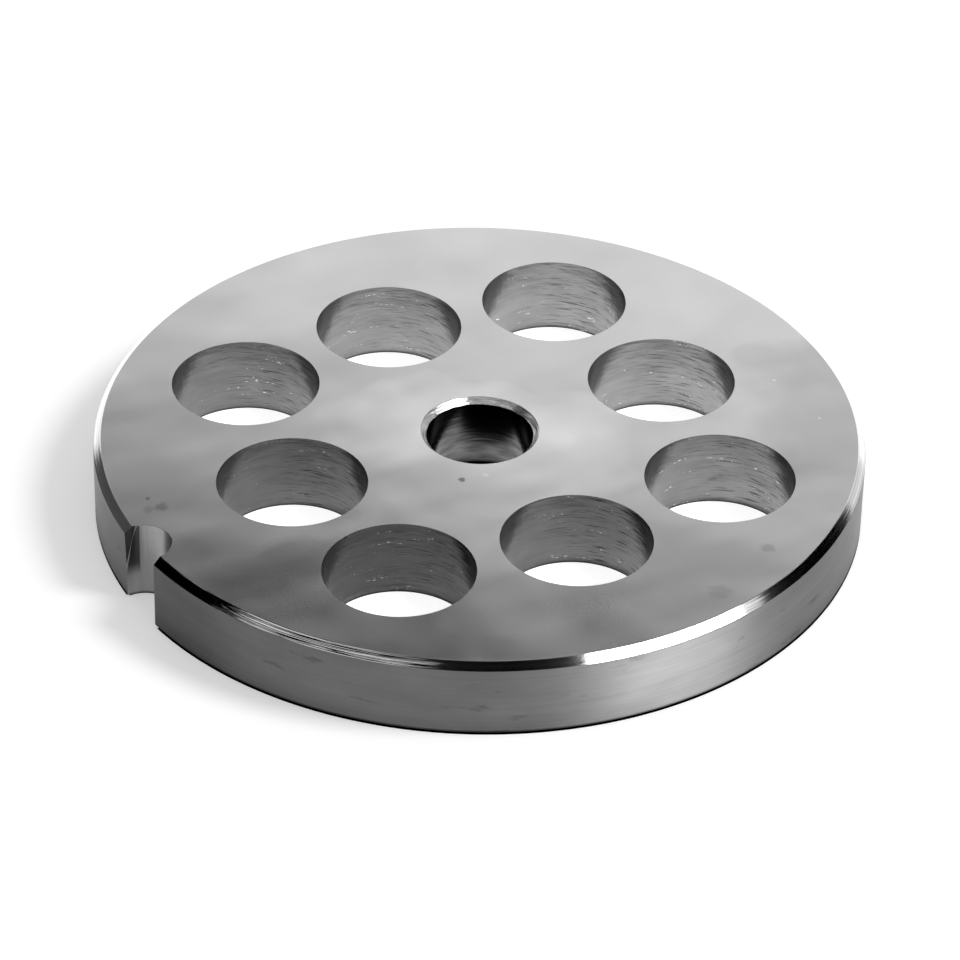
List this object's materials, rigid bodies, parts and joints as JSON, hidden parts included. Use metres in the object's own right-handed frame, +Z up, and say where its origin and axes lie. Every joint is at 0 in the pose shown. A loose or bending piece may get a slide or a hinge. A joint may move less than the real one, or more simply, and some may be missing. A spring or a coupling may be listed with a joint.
{
  "type": "meat grinder plate",
  "caption": "Round steel grinder plate with a countersunk centre bore, staggered rings of large meat holes, a chamfered rim and an open locating notch.",
  "frame": {"origin": "on the axis of the centre bore, at the underside", "axes": "+Z up along the bore, from the underside to the knife face with the chamfered rim; the locating notch is on the -X side"},
  "size_m": [0.0819, 0.082, 0.0087],
  "materials": {
    "ground_steel": "surface-ground faces, turned rim and chamfers, drilled hole walls"
  },
  "bodies": {
    "root": {"grinder_plate": "ground_steel"}
  },
  "joints": []
}
